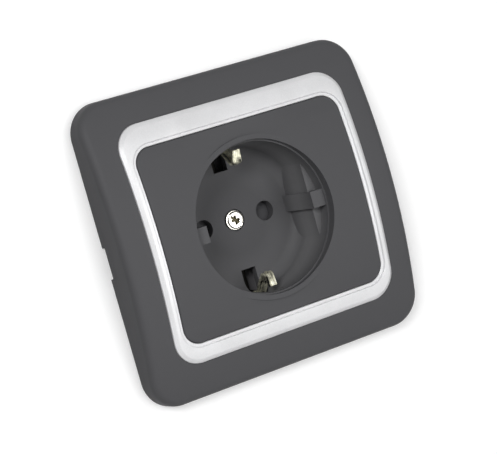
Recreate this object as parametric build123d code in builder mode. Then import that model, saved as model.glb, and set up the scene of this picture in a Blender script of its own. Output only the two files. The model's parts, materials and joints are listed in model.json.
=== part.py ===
"""Flush wall socket: curved cover frame, silver trim ring, earthed round cup with shutter.

Frame of the part: X to the right, Z up, the front faces -Y and the wall is the plane Y = 0.
A "level" below is a height in front of the wall (so Y = -level); behind the wall it is negative.
"""
import os
from math import cos, radians, sin, tan

from build123d import *

os.makedirs("parts", exist_ok=True)

# curved front: one cylinder axis along X, shared by frame, ring and centre plate
bow_radius = 130.0
frame_crown = 10.9
ring_rise = 1.2
lip_rise = 0.6
plate_rise = 0.8

# cover frame
frame_width = 83.0
frame_height = 80.0
frame_corner = 8.2
frame_wall = 2.2
frame_skin = 2.4
front_edge_round = 2.4
side_draft = 1.0
notch_length = 8.2
notch_depth = 1.4
rib_thick = 1.2
rib_offset_x = 20.0
rib_offset_z = 13.0

# centre plate and the cup moulded in one with it
plate_width = 61.0
plate_height = 51.2
plate_corner = 4.6
plate_skin = 2.0
skirt_thick = 1.5
cup_floor_radius = 19.5
cup_ledge_radius = cup_floor_radius + 0.25
cup_mouth_radius = cup_floor_radius + 0.9
cup_depth = 18.0
ledge_depth = 2.6
cup_wall = 1.75
cup_outer = cup_ledge_radius + cup_wall
cup_floor_thick = 2.2
cup_heel_round = 3.2
pin_pitch = 19.0
pin_hole_radius = 2.65
guide_chord = cup_floor_radius - 2.5
guide_front = 5.7
rib_chord = cup_floor_radius - 3.6
rib_front = 8.7
rib_width = 4.4
clip_slot_inner = cup_floor_radius - 6.15
clip_slot_outer = cup_outer - 0.3
clip_slot_width = 4.3
clip_box_wall = 1.4
clip_box_depth = 3.6
clip_box_width = 7.4
clip_box_front = 7.6

# silver trim ring
ring_width = 67.2
ring_height = 62.8
ring_lift = 0.7
ring_corner = 7.0
ring_gap = 0.15
ring_lip = 0.9
ring_bevel = 1.1
ring_seat = 1.0
seat_gap = 0.1
bed_gap = 0.03
peg_radius = 1.2
peg_gap = 0.15
peg_offset_x = 19.0
peg_inset = 2.3
lower_peg_inset = 1.8

# how frame, plate and bracket stack
bracket_thick = 1.0
flange_thick = 1.6
opening_gap = 0.4
collar_thick = 1.4
flange_ledge = 1.8
flange_width_x = plate_width / 2 - flange_ledge
flange_height_z = plate_height / 2 - flange_ledge

# fixing bracket
bracket_side_gap = 3.8
bracket_end_gap = 2.3
bracket_width = frame_width - 2 * (frame_wall + bracket_side_gap)
bracket_height = frame_height - 2 * (frame_wall + bracket_end_gap)
bracket_corner = 7.0
fixing_pitch = 60.0
fixing_slot_radius = 1.95
fixing_slot_length = 7.4
claw_window_x = 4.0
claw_window_z = 13.6

# insert behind the wall
cup_clearance = 1.5
collar_wall = 1.6
collar_step = 0.4
collar_inner = cup_outer + cup_clearance
collar_outer = collar_inner + collar_wall
insert_radius = collar_inner - collar_step
bracket_opening = collar_inner + 0.2
insert_wall = 1.6
insert_depth = 31.0
insert_front_thick = 1.8
rear_cover_thick = 1.6
terminal_port = 3.1

# shutter and its tray
shutter_gap = 0.2
shutter_thick = 1.8
shutter_travel = 6.0
shutter_half_width = 13.2
shutter_bottom = -3.4
shutter_top = 9.4
tray_floor_thick = 1.5
tray_half_width = 16.4
tray_half_height = 12.9
post_radius = 2.1
post_bore = 1.6
spring_wire = 0.16
spring_coil = 0.92
spring_turns = 6
spring_foot = -12.0

# earth strap
strap_thick = 0.8
strap_width = 3.6
strap_leg = cup_outer - 1.3
clip_bend = 1.1
clip_tip_round = 1.0
clip_shoulder_level = -4.4
clip_apex_level = 2.2
clip_apex_reach = cup_floor_radius - 5.2
clip_tip_level = 5.2
clip_tip_reach = cup_floor_radius - 1.7

# contacts and terminals
leaf_thick = 0.8
leaf_pinch = 2.25
leaf_mouth = 3.3
leaf_width = 5.2
contact_front = 14.8
contact_back = 27.2
block_x = pin_pitch / 2 + 0.5
block_z = insert_radius - 10.2
block_width = 7.0
block_depth = 7.6
block_height = 7.0
wire_bore = 1.4
terminal_shank = 1.5
terminal_head = 2.7

# centre screw and nut
screw_shank = 1.45
screw_head_radius = 2.5
screw_head_high = 1.5
screw_head_edge = 0.5
head_recess_radius = 3.0
head_recess_depth = 0.8
screw_tip_level = -19.0
screw_tip_taper = 0.6
driver_slot = 0.75
driver_cross = 2.6
nut_side = 5.5
nut_thick = 2.4
nut_front_level = -15.2

# spreading claws
claw_pivot_x = collar_outer + 2.0
claw_pivot_level = -4.0
claw_half_width = 4.5
claw_thick = 1.3
claw_outer_x = collar_outer + 4.1
claw_tooth = 0.8
claw_head_level = -1.3
claw_foot_level = -23.0
claw_ear_thick = 1.0
claw_pin_radius = 0.9
claw_pin_length = 3.3
claw_screw_x = collar_outer + 1.3
claw_screw_radius = 1.2
claw_screw_head = 2.3
claw_screw_head_high = 1.6
head_room = 0.4
claw_screw_slack = 0.5
claw_swing = 8.0
bracket_ear_thick = 1.2
ear_gap = 0.3
running_gap = 0.05

# levels that follow from the sizes above
plate_crown = frame_crown + plate_rise
ring_crown = frame_crown + ring_rise
lip_crown = frame_crown + lip_rise
floor_level = plate_crown - cup_depth
floor_back = floor_level - cup_floor_thick
ledge_level = plate_crown - ledge_depth
shutter_front = floor_back - shutter_gap
tray_recess = shutter_front - shutter_thick - shutter_gap
tray_back = tray_recess - tray_floor_thick
strap_back = tray_back - strap_thick
insert_front_back = tray_back - insert_front_thick
flange_top = bracket_thick + flange_thick
pin_x = pin_pitch / 2


def front_plane(level):
    """A drawing plane facing the viewer, with local x to +X and local y to +Z."""
    return Plane(origin=(0, -level, 0), x_dir=(1, 0, 0), z_dir=(0, -1, 0))


def bowed_block(crown):
    """Everything behind the curved front surface whose top line stands at this level."""
    with BuildPart() as block:
        with BuildSketch(Plane.YZ):
            with Locations((bow_radius - frame_crown, 0)):
                Circle(bow_radius + crown - frame_crown)
        extrude(amount=60, both=True)
    return block.part


def slab(width, height, corner, level, depth, shift_z=0.0, taper=0.0):
    """A rounded rectangular block that starts at a level and grows towards the viewer."""
    with BuildPart() as block:
        with BuildSketch(front_plane(level)):
            with Locations((0, shift_z)):
                RectangleRounded(width, height, corner)
        extrude(amount=depth, taper=taper)
    return block.part


def disc(radius, level, depth):
    """A round block that starts at a level and grows towards the viewer."""
    with BuildPart() as block:
        with BuildSketch(front_plane(level)):
            Circle(radius)
        extrude(amount=depth)
    return block.part


def front_bars(places, width, height, level, depth):
    """Rectangular bars at several places, growing from a level towards the viewer."""
    with BuildPart() as bars:
        with BuildSketch(front_plane(level)):
            with Locations(*places):
                Rectangle(width, height)
        extrude(amount=depth)
    return bars.part


def round_posts(places, radius, level, depth):
    """Round posts at several places, growing from a level towards the viewer."""
    with BuildPart() as posts:
        with BuildSketch(front_plane(level)):
            with Locations(*places):
                Circle(radius)
        extrude(amount=depth)
    return posts.part


# cover frame: a thin moulded shell with the curved front, hollow from behind
frame_front = bowed_block(frame_crown)
frame_under = bowed_block(frame_crown - frame_skin)
opening_x = plate_width / 2 + opening_gap
opening_z = plate_height / 2 + opening_gap
collar_x = opening_x + collar_thick
collar_z = opening_z + collar_thick
peg_high = ring_lift + ring_height / 2 - peg_inset
peg_low = ring_lift - ring_height / 2 + lower_peg_inset
peg_places = [(x, z) for z in (peg_high, peg_low) for x in (-peg_offset_x, peg_offset_x)]
end_rib_start = collar_z + 1.0
end_rib_stop = frame_height / 2 - frame_wall + 0.2
end_rib_z = (end_rib_start + end_rib_stop) / 2
side_rib_start = collar_x + 0.1
side_rib_stop = frame_width / 2 - frame_wall + 0.1
side_rib_x = (side_rib_start + side_rib_stop) / 2

frame_hollow = slab(
    frame_width - 2 * frame_wall,
    frame_height - 2 * frame_wall,
    frame_corner - frame_wall,
    -1,
    14,
    taper=side_draft,
) & frame_under
frame_collar = slab(2 * collar_x, 2 * collar_z, plate_corner + 1.8, bracket_thick, 12) & frame_under
ring_pocket = slab(
    ring_width + 2 * seat_gap,
    ring_height + 2 * seat_gap,
    ring_corner + seat_gap,
    2,
    12,
    shift_z=ring_lift,
) - bowed_block(frame_crown - ring_seat - bed_gap)
claw_head_room = front_bars(
    [(-claw_screw_x, 0), (claw_screw_x, 0)],
    2 * (claw_screw_head + head_room),
    2 * (claw_screw_head + head_room),
    0,
    bracket_thick + claw_screw_slack + claw_screw_head_high + head_room,
)

with BuildPart() as outer_frame:
    with BuildSketch(front_plane(0)):
        RectangleRounded(frame_width, frame_height, frame_corner)
    extrude(amount=14, taper=side_draft)
    add(frame_front, mode=Mode.INTERSECT)
    front_face = outer_frame.faces().sort_by(Axis.Y)[0]
    fillet(front_face.edges(), front_edge_round)
    add(frame_hollow, mode=Mode.SUBTRACT)
    add(frame_collar)
    # stiffening ribs between the collar and the outer wall, kept off the fixing screws
    with BuildSketch(front_plane(bracket_thick + 0.6)) as rib_lines:
        with Locations(*[(x, z) for x in (-rib_offset_x, rib_offset_x) for z in (-end_rib_z, end_rib_z)]):
            Rectangle(rib_thick, end_rib_stop - end_rib_start)
        with Locations(*[(x, z) for x in (-side_rib_x, side_rib_x) for z in (-rib_offset_z, rib_offset_z)]):
            Rectangle(side_rib_stop - side_rib_start, rib_thick)
    extrude(until=Until.NEXT)
    # pocket that takes the trim ring, and the window for the centre plate
    add(ring_pocket, mode=Mode.SUBTRACT)
    with BuildSketch(front_plane(flange_top)):
        RectangleRounded(2 * opening_x, 2 * opening_z, plate_corner + opening_gap)
    extrude(amount=14, mode=Mode.SUBTRACT)
    with BuildSketch(front_plane(0)):
        RectangleRounded(2 * flange_width_x, 2 * flange_height_z, 3)
    extrude(amount=14, mode=Mode.SUBTRACT)
    # holes for the ring's pegs
    with BuildSketch(front_plane(2)):
        with Locations(*peg_places):
            Circle(peg_radius + peg_gap)
    extrude(amount=12, mode=Mode.SUBTRACT)
    # pry notch in the left wall, at its back edge
    with BuildSketch(front_plane(-1)):
        with Locations((-frame_width / 2, 0)):
            Rectangle(2 * frame_wall + 1.2, notch_length)
    extrude(amount=1 + notch_depth, mode=Mode.SUBTRACT)
    add(claw_head_room, mode=Mode.SUBTRACT)
outer_frame.part.label = "outer_frame"

# trim ring: a crowned inlay with a bevelled outer edge and a low inner lip
ring_step = slab(
    plate_width + 2 * (ring_gap + ring_lip),
    plate_height + 2 * (ring_gap + ring_lip),
    plate_corner + ring_lip,
    2,
    14,
) - bowed_block(lip_crown)

with BuildPart() as trim_ring:
    with BuildSketch(front_plane(3)):
        with Locations((0, ring_lift)):
            RectangleRounded(ring_width, ring_height, ring_corner)
    extrude(amount=12)
    add(bowed_block(ring_crown), mode=Mode.INTERSECT)
    ring_face = trim_ring.faces().sort_by(Axis.Y)[0]
    chamfer(ring_face.edges(), length=0.8, length2=ring_bevel)
    add(bowed_block(frame_crown - ring_seat), mode=Mode.SUBTRACT)
    add(ring_step, mode=Mode.SUBTRACT)
    with BuildSketch(front_plane(0)):
        RectangleRounded(plate_width + 2 * ring_gap, plate_height + 2 * ring_gap, plate_corner + ring_gap)
    extrude(amount=20, mode=Mode.SUBTRACT)
    add(round_posts(peg_places, peg_radius, 4.2, 4.0) & bowed_block(frame_crown - ring_seat + 0.2))
trim_ring.part.label = "trim_ring"

# centre plate with the plug cup, guide pads, ribs and earth windows
plate_hollow = slab(
    plate_width - 2 * skirt_thick, plate_height - 2 * skirt_thick, plate_corner - skirt_thick, 0, 14
) & bowed_block(plate_crown - plate_skin)
window_mid = (clip_slot_inner + clip_slot_outer) / 2
clip_box_z = clip_slot_outer + clip_box_wall - clip_box_depth / 2
web_start = cup_outer - 1.0
web_stop = plate_width / 2 - 1.0
web_x = (web_start + web_stop) / 2
web_level = flange_top + 1.5
web_front = bowed_block(plate_crown - 1)

with BuildPart() as centre_plate:
    with BuildSketch(front_plane(flange_top)):
        RectangleRounded(plate_width, plate_height, plate_corner)
    extrude(amount=12)
    add(bowed_block(plate_crown), mode=Mode.INTERSECT)
    plate_face = centre_plate.faces().sort_by(Axis.Y)[0]
    fillet(plate_face.edges(), 0.5)
    add(plate_hollow, mode=Mode.SUBTRACT)
    # stiffening webs between the cup and the skirt
    add(front_bars([(-web_x, 0), (web_x, 0)], web_stop - web_start, rib_thick, web_level, 12) & web_front)
    add(front_bars([(-14, 0), (14, 0)], rib_thick, plate_height - 2, web_level, 12) & web_front)
    # outside of the cup, with the boxes that house the earth clips
    with BuildSketch(front_plane(floor_back)):
        Circle(cup_outer)
    extrude(amount=cup_depth + cup_floor_thick - 1.2)
    heel = centre_plate.edges().filter_by(GeomType.CIRCLE).sort_by(Axis.Y)[-1]
    fillet(heel, 1.6)
    add(
        front_bars(
            [(0, clip_box_z), (0, -clip_box_z)],
            clip_box_width,
            clip_box_depth,
            floor_back,
            clip_box_front - floor_back,
        )
    )
    # inside of the cup, turned about the plug axis
    with BuildSketch(Plane.XY):
        with BuildLine():
            Polyline(
                (0, -floor_level),
                (cup_floor_radius - cup_heel_round, -floor_level),
            )
            RadiusArc(
                (cup_floor_radius - cup_heel_round, -floor_level),
                (cup_floor_radius, -floor_level - cup_heel_round),
                cup_heel_round,
            )
            Polyline(
                (cup_floor_radius, -floor_level - cup_heel_round),
                (cup_ledge_radius, -ledge_level),
                (cup_mouth_radius - 0.25, -ledge_level),
                (cup_mouth_radius, -plate_crown - 3),
                (0, -plate_crown - 3),
                (0, -floor_level),
            )
        make_face()
    revolve(axis=Axis.Y, revolution_arc=360, mode=Mode.SUBTRACT)
    # flat guide pads and the ribs that stand on them, left and right
    with BuildSketch(front_plane(floor_level - 0.5)):
        Circle(cup_outer - 0.4)
        Rectangle(2 * guide_chord, 60, mode=Mode.SUBTRACT)
    extrude(amount=guide_front - floor_level + 0.5)
    with BuildSketch(front_plane(floor_level - 0.5)):
        with Locations((-cup_outer, 0), (cup_outer, 0)):
            Rectangle(2 * (cup_outer - rib_chord), rib_width)
        Circle(cup_outer - 0.4, mode=Mode.INTERSECT)
    extrude(amount=rib_front - floor_level + 0.5)
    # openings in the floor: pin holes, earth windows, screw hole with its recess
    with BuildSketch(front_plane(floor_back)):
        with Locations((-pin_x, 0), (pin_x, 0)):
            Circle(pin_hole_radius)
        Circle(screw_shank + 0.2)
    extrude(amount=cup_floor_thick + 1, mode=Mode.SUBTRACT)
    with BuildSketch(front_plane(floor_level - head_recess_depth)):
        Circle(head_recess_radius)
    extrude(amount=3, mode=Mode.SUBTRACT)
    with BuildSketch(front_plane(floor_back)):
        with Locations((0, window_mid), (0, -window_mid)):
            Rectangle(clip_slot_width, clip_slot_outer - clip_slot_inner)
    extrude(amount=clip_box_front - 1.1 - floor_back, mode=Mode.SUBTRACT)
    add(claw_head_room, mode=Mode.SUBTRACT)
centre_plate.part.label = "centre_plate"

# centre screw: cheese head with a combined slot and cross, plain shank
head_seat = floor_level - head_recess_depth
head_top = head_seat + screw_head_high

with BuildPart() as centre_screw:
    with BuildSketch(Plane.XY):
        with BuildLine():
            Polyline(
                (0, -head_top),
                (screw_head_radius - screw_head_edge, -head_top),
            )
            RadiusArc(
                (screw_head_radius - screw_head_edge, -head_top),
                (screw_head_radius, -head_top + screw_head_edge),
                screw_head_edge,
            )
            Polyline(
                (screw_head_radius, -head_top + screw_head_edge),
                (screw_head_radius, -head_seat),
                (screw_shank, -head_seat),
                (screw_shank, -screw_tip_level - screw_tip_taper),
                (screw_shank - screw_tip_taper, -screw_tip_level),
                (0, -screw_tip_level),
                (0, -head_top),
            )
        make_face()
    revolve(axis=Axis.Y, revolution_arc=360)
    with BuildSketch(front_plane(head_top - 0.5)):
        Rectangle(2 * screw_head_radius, driver_slot, rotation=-45)
    extrude(amount=1, mode=Mode.SUBTRACT)
    with BuildSketch(front_plane(head_top - 0.9)):
        Rectangle(driver_cross, driver_slot)
        Rectangle(driver_slot, driver_cross)
    extrude(amount=1.4, mode=Mode.SUBTRACT)
centre_screw.part.label = "centre_screw"

# square nut held behind the earth strap
with BuildPart() as centre_nut:
    with BuildSketch(front_plane(nut_front_level - nut_thick)):
        RectangleRounded(nut_side, nut_side, 0.4)
        Circle(screw_shank + 0.03, mode=Mode.SUBTRACT)
    extrude(amount=nut_thick)
centre_nut.part.label = "centre_nut"

# shutter: closes both pin holes at rest, slides down when both pins push it
post_slot_long = shutter_travel + 2 * post_radius + 0.5
post_slot_wide = 2 * post_radius + 0.4
ramp_reach = pin_hole_radius - 0.25
ramp_low = -2.7
ramp_rise = 0.9

with BuildPart() as shutter:
    with BuildSketch(front_plane(shutter_front - shutter_thick)):
        with Locations((0, (shutter_top + shutter_bottom) / 2)):
            RectangleRounded(2 * shutter_half_width, shutter_top - shutter_bottom, 1.2)
        with Locations((-pin_x, shutter_travel), (pin_x, shutter_travel)):
            Circle(pin_hole_radius + 0.2, mode=Mode.SUBTRACT)
        with Locations((0, shutter_travel / 2)):
            SlotOverall(post_slot_long, post_slot_wide, rotation=90, mode=Mode.SUBTRACT)
    extrude(amount=shutter_thick)
    # sloping faces under the pin holes turn a push of both pins into the downward slide
    with BuildSketch(Plane.YZ):
        with BuildLine():
            Polyline(
                (-shutter_front, ramp_low),
                (-shutter_front, ramp_reach),
                (-shutter_front + ramp_rise, ramp_reach),
                close=True,
            )
        make_face()
    extrude(amount=pin_x + ramp_reach, both=True, mode=Mode.SUBTRACT)
    with BuildSketch(front_plane(shutter_front - shutter_thick)):
        Rectangle(2 * (pin_x - ramp_reach), ramp_reach - ramp_low + 0.6)
        with Locations((0, shutter_travel / 2)):
            SlotOverall(post_slot_long, post_slot_wide, rotation=90, mode=Mode.SUBTRACT)
    extrude(amount=shutter_thick)
shutter.part.label = "shutter"

# return spring of the shutter
with BuildPart() as shutter_spring:
    spring_length = shutter_bottom - spring_foot
    spring_level = shutter_front - shutter_thick / 2
    coil_length = spring_length - 2 * spring_wire
    with BuildLine() as coil_path:
        Helix(
            pitch=coil_length / spring_turns,
            height=coil_length,
            radius=spring_coil,
            center=(0, -spring_level, spring_foot + spring_wire),
        )
    with BuildSketch(Plane(coil_path.line @ 0, z_dir=coil_path.line % 0)):
        Circle(spring_wire)
    sweep(path=coil_path.line, is_frenet=True)
shutter_spring.part.label = "shutter_spring"

# shutter tray: guides the shutter between the cup floor and the insert
with BuildPart() as shutter_tray:
    add(slab(2 * tray_half_width, 2 * tray_half_height, 3.0, tray_back, floor_back - tray_back))
    with BuildSketch(front_plane(tray_recess)):
        pocket_low = shutter_bottom - shutter_travel - 0.3
        pocket_high = shutter_top + 0.05
        with Locations((0, (pocket_low + pocket_high) / 2)):
            Rectangle(2 * shutter_half_width + 0.4, pocket_high - pocket_low)
        with Locations((0, (spring_foot + pocket_low) / 2)):
            Rectangle(2.6, pocket_low - spring_foot)
    extrude(amount=5, mode=Mode.SUBTRACT)
    with BuildSketch(front_plane(tray_recess - 0.1)):
        with Locations((0, (spring_foot + shutter_bottom) / 2)):
            Rectangle(2.6, shutter_bottom - spring_foot)
    extrude(amount=1, mode=Mode.SUBTRACT)
    with BuildSketch(front_plane(tray_back)):
        with Locations((-pin_x, 0), (pin_x, 0)):
            Circle(pin_hole_radius + 0.15)
    extrude(amount=4, mode=Mode.SUBTRACT)
    add(disc(post_radius, tray_back, floor_back - tray_back))
    with BuildSketch(front_plane(tray_back)):
        Circle(post_bore)
    extrude(amount=6, mode=Mode.SUBTRACT)
shutter_tray.part.label = "shutter_tray"

# earth strap: one bent strip, its ends arch into the cup as the two earth clips
strap_line_y = -(tray_back - strap_thick / 2)
upper_half = [
    (-clip_tip_level, clip_tip_reach),
    (-clip_apex_level, clip_apex_reach),
    (-clip_shoulder_level, strap_leg),
    (strap_line_y, strap_leg),
]
lower_half = [(y, -z) for y, z in reversed(upper_half)]
tab_z = -9.4

with BuildPart() as earth_strap:
    with BuildSketch(Plane.YZ):
        with BuildLine() as strap_path:
            FilletPolyline(*upper_half, *lower_half, radius=clip_bend)
        trace(line_width=strap_thick)
    extrude(amount=strap_width / 2, both=True)
    tip_corners = earth_strap.edges().filter_by(
        lambda edge: edge.length < 1.1 * strap_thick and edge.center().Y < 0.8 - clip_tip_level
    )
    fillet(tip_corners, clip_tip_round)
    # tab bent back through the insert to the earth terminal
    with BuildSketch(front_plane(-contact_back)):
        with Locations((0, tab_z)):
            Rectangle(strap_width, strap_thick)
    extrude(amount=contact_back + tray_back - strap_thick / 2)
    with BuildSketch(front_plane(strap_back - 0.5)):
        Circle(screw_shank + 0.2)
    extrude(amount=2, mode=Mode.SUBTRACT)
earth_strap.part.label = "earth_strap"


def pin_contact(side):
    """Spring receiver for one plug pin with the strip that carries its terminal."""
    mid_y = (contact_back + contact_front) / 2
    with BuildPart() as contact:
        with BuildSketch(Plane.YZ.offset(side * pin_x)):
            with BuildLine():
                FilletPolyline(
                    (contact_front, leaf_mouth),
                    (contact_front + 2.4, leaf_pinch + leaf_thick / 2),
                    (mid_y + 1.5, leaf_pinch + leaf_thick),
                    (contact_back - leaf_thick / 2, leaf_pinch + leaf_thick),
                    (contact_back - leaf_thick / 2, -leaf_pinch - leaf_thick),
                    (mid_y + 1.5, -leaf_pinch - leaf_thick),
                    (contact_front + 2.4, -leaf_pinch - leaf_thick / 2),
                    (contact_front, -leaf_mouth),
                    radius=0.8,
                )
            trace(line_width=leaf_thick)
        extrude(amount=leaf_width / 2, both=True)
        # relief slot that lets each leaf flex
        with BuildSketch(Plane.XZ.offset(-contact_front + 0.5)):
            with Locations((side * pin_x, 0)):
                Rectangle(0.8, 2 * leaf_mouth + 2.4)
        extrude(amount=-8, mode=Mode.SUBTRACT)
        with BuildSketch(front_plane(-contact_back)):
            with Locations((side * pin_x, (block_z + block_height / 2 + 1.5) / 2)):
                Rectangle(leaf_width, block_z + block_height / 2 - 1.5)
        extrude(amount=leaf_thick)
        with BuildSketch(front_plane(-contact_back - 0.5)):
            with Locations((side * block_x, block_z)):
                Circle(wire_bore + 0.2)
        extrude(amount=2, mode=Mode.SUBTRACT)
    return contact.part


def terminal_block(centre_x, centre_z, screw_up):
    """Brass clamp block with a wire hole from behind and a screw hole from the side."""
    front = contact_back - leaf_thick
    with BuildPart() as block:
        with BuildSketch(front_plane(-front)):
            with Locations((centre_x, centre_z)):
                RectangleRounded(block_width, block_height, 0.6)
        extrude(amount=block_depth)
        with BuildSketch(front_plane(-front)):
            with Locations((centre_x, centre_z)):
                Circle(wire_bore)
        extrude(amount=block_depth - 1.2, mode=Mode.SUBTRACT)
        with BuildSketch(Plane.XY.offset(centre_z)):
            with Locations((centre_x, front - block_depth / 2)):
                Circle(terminal_shank + 0.03)
        extrude(amount=screw_up * 6, mode=Mode.SUBTRACT)
    return block.part


def terminal_screw(centre_x, centre_z, screw_up):
    """Slotted clamp screw that presses the wire inside its block."""
    mid_y = contact_back - leaf_thick - block_depth / 2
    shank_start = centre_z + screw_up * (wire_bore + 0.1)
    head_start = centre_z + screw_up * (block_height / 2 + 0.5)
    head_end = head_start + screw_up * 1.9
    with BuildPart() as screw:
        with BuildSketch(Plane.XY.offset(shank_start)):
            with Locations((centre_x, mid_y)):
                Circle(terminal_shank)
        extrude(amount=head_start - shank_start)
        with BuildSketch(Plane.XY.offset(head_start)):
            with Locations((centre_x, mid_y)):
                Circle(terminal_head)
        extrude(amount=head_end - head_start)
        with BuildSketch(Plane.XY.offset(head_end)):
            with Locations((centre_x, mid_y)):
                Rectangle(2 * terminal_head, 0.8)
        extrude(amount=-screw_up * 0.9, mode=Mode.SUBTRACT)
    return screw.part


live_contact = pin_contact(1)
live_contact.label = "live_contact"
neutral_contact = pin_contact(-1)
neutral_contact.label = "neutral_contact"
live_terminal = terminal_block(block_x, block_z, 1)
live_terminal.label = "live_terminal"
neutral_terminal = terminal_block(-block_x, block_z, 1)
neutral_terminal.label = "neutral_terminal"
earth_block_z = tab_z - strap_thick / 2 - block_height / 2
earth_terminal = terminal_block(0, earth_block_z, -1)
earth_terminal.label = "earth_terminal"
live_terminal_screw = terminal_screw(block_x, block_z, 1)
live_terminal_screw.label = "live_terminal_screw"
neutral_terminal_screw = terminal_screw(-block_x, block_z, 1)
neutral_terminal_screw.label = "neutral_terminal_screw"
earth_terminal_screw = terminal_screw(0, earth_block_z, -1)
earth_terminal_screw.label = "earth_terminal_screw"

# insert housing: collar round the cup, then a pot that holds contacts and terminals
rivet_reach = collar_outer + 2.35
rivet_angle = 45
rivet_places = [
    (rivet_reach * cos(radians(rivet_angle + 90 * n)), rivet_reach * sin(radians(rivet_angle + 90 * n)))
    for n in range(4)
]
rivet_radius = 1.4
port_y = contact_back - leaf_thick - block_depth / 2
claw_lean = -claw_pivot_level * tan(radians(claw_swing))
claw_flat_x = claw_screw_x - claw_screw_radius - claw_lean - 2 * seat_gap

with BuildPart() as insert_housing:
    with BuildSketch(front_plane(tray_back)):
        Circle(collar_outer)
        Circle(collar_inner, mode=Mode.SUBTRACT)
    extrude(amount=-tray_back)
    with BuildSketch(front_plane(tray_back - insert_front_thick)):
        Circle(collar_outer)
    extrude(amount=insert_front_thick)
    # four feet under the bracket take the rivets
    with BuildSketch(front_plane(-5)):
        with Locations(*rivet_places):
            Circle(2.8)
        Circle(collar_inner, mode=Mode.SUBTRACT)
    extrude(amount=5)
    with BuildSketch(front_plane(-insert_depth)):
        Circle(insert_radius)
        Circle(insert_radius - insert_wall, mode=Mode.SUBTRACT)
        Rectangle(insert_wall, 2 * insert_radius - 1, mode=Mode.ADD)
        with Locations((0, -5.4)):
            Rectangle(2 * insert_radius - 1, insert_wall)
    extrude(amount=insert_depth + insert_front_back)
    # clear the room each terminal and contact needs
    with BuildSketch(front_plane(-insert_depth)):
        with Locations((0, -13.0)):
            Rectangle(block_width + 1.2, 15.4)
    extrude(amount=insert_depth + insert_front_back, mode=Mode.SUBTRACT)
    add(disc(4.9, nut_front_level - nut_thick - 1.4, insert_front_back - nut_front_level + nut_thick + 1.4))
    with BuildSketch(front_plane(nut_front_level - nut_thick - 2)):
        RectangleRounded(nut_side + 0.2, nut_side + 0.2, 0.4)
    extrude(amount=nut_thick + 2, mode=Mode.SUBTRACT)
    # groove for the strap, slot for its tab, pin holes, screw hole
    with BuildSketch(front_plane(strap_back)):
        Rectangle(strap_width + 0.3, 2 * (strap_leg + 1.2))
    extrude(amount=strap_thick, mode=Mode.SUBTRACT)
    with BuildSketch(front_plane(-insert_depth)):
        with Locations((0, tab_z)):
            Rectangle(strap_width + 0.3, strap_thick + 0.3)
    extrude(amount=insert_depth + tray_back, mode=Mode.SUBTRACT)
    with BuildSketch(front_plane(insert_front_back)):
        with Locations((-pin_x, 0), (pin_x, 0)):
            Circle(pin_hole_radius + 0.15)
    extrude(amount=4, mode=Mode.SUBTRACT)
    with BuildSketch(front_plane(nut_front_level)):
        Circle(screw_shank + 0.2)
    extrude(amount=5, mode=Mode.SUBTRACT)
    with BuildSketch(front_plane(-6)):
        with Locations(*rivet_places):
            Circle(rivet_radius + 0.05)
    extrude(amount=8, mode=Mode.SUBTRACT)
    # flats beside the claw screws, clear of them when the claws are spread
    with BuildSketch(front_plane(claw_pivot_level - 2)):
        with Locations((-claw_flat_x - 2, 0), (claw_flat_x + 2, 0)):
            Rectangle(4, 2 * claw_screw_radius + 2.6)
    extrude(amount=2 - claw_pivot_level, mode=Mode.SUBTRACT)
    # screwdriver ports over the terminal screws
    with BuildSketch(Plane.XY.offset(10)):
        with Locations((-block_x, port_y), (block_x, port_y)):
            Circle(terminal_port)
    extrude(amount=20, mode=Mode.SUBTRACT)
    with BuildSketch(Plane.XY.offset(-12)):
        with Locations((0, port_y)):
            Circle(terminal_port)
    extrude(amount=-20, mode=Mode.SUBTRACT)
insert_housing.part.label = "insert_housing"

# rear cover with the wire entries
wire_places = [(-block_x, block_z), (block_x, block_z), (0, earth_block_z)]

with BuildPart() as rear_cover:
    with BuildSketch(front_plane(-insert_depth - rear_cover_thick)):
        Circle(insert_radius)
    extrude(amount=rear_cover_thick)
    fillet(rear_cover.edges().filter_by(GeomType.CIRCLE).sort_by(Axis.Y)[-1], 0.6)
    with BuildSketch(front_plane(-insert_depth - rear_cover_thick)):
        with Locations(*wire_places):
            Circle(wire_bore + 0.4)
    extrude(amount=4, mode=Mode.SUBTRACT)
    # short posts that press the contact strips against the housing
    add(front_bars([(-pin_x, 6), (pin_x, 6)], 4, 3, -insert_depth, insert_depth - contact_back))
rear_cover.part.label = "rear_cover"

# fixing bracket: sheet steel with slots, claw windows and bent ears
ear_z = claw_half_width + ear_gap + bracket_ear_thick / 2
window_x = claw_outer_x + 1.2

with BuildPart() as mounting_bracket:
    with BuildSketch(front_plane(0)):
        RectangleRounded(bracket_width, bracket_height, bracket_corner)
        Circle(bracket_opening, mode=Mode.SUBTRACT)
        with Locations((0, fixing_pitch / 2), (0, -fixing_pitch / 2)):
            SlotOverall(fixing_slot_length, 2 * fixing_slot_radius, rotation=90, mode=Mode.SUBTRACT)
        with Locations(*rivet_places):
            Circle(rivet_radius + 0.05, mode=Mode.SUBTRACT)
        with Locations((-window_x, 0), (window_x, 0)):
            Rectangle(claw_window_x, claw_window_z, mode=Mode.SUBTRACT)
        with Locations((-claw_screw_x + 0.3, 0), (claw_screw_x - 0.3, 0)):
            SlotOverall(2 * claw_screw_radius + 1.1, 2 * claw_screw_radius + 0.4, mode=Mode.SUBTRACT)
    extrude(amount=bracket_thick)
    # ears bent back above and below each claw carry its pivot pins
    add(
        front_bars(
            [(x, z) for x in (-claw_pivot_x, claw_pivot_x) for z in (-ear_z, ear_z)],
            3.6,
            bracket_ear_thick,
            claw_pivot_level - 2.0,
            2.5 - claw_pivot_level,
        )
    )
    with BuildSketch(Plane.XY.offset(-9)):
        with Locations((-claw_pivot_x, -claw_pivot_level), (claw_pivot_x, -claw_pivot_level)):
            Circle(claw_pin_radius + 0.02)
    extrude(amount=18, mode=Mode.SUBTRACT)
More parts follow.
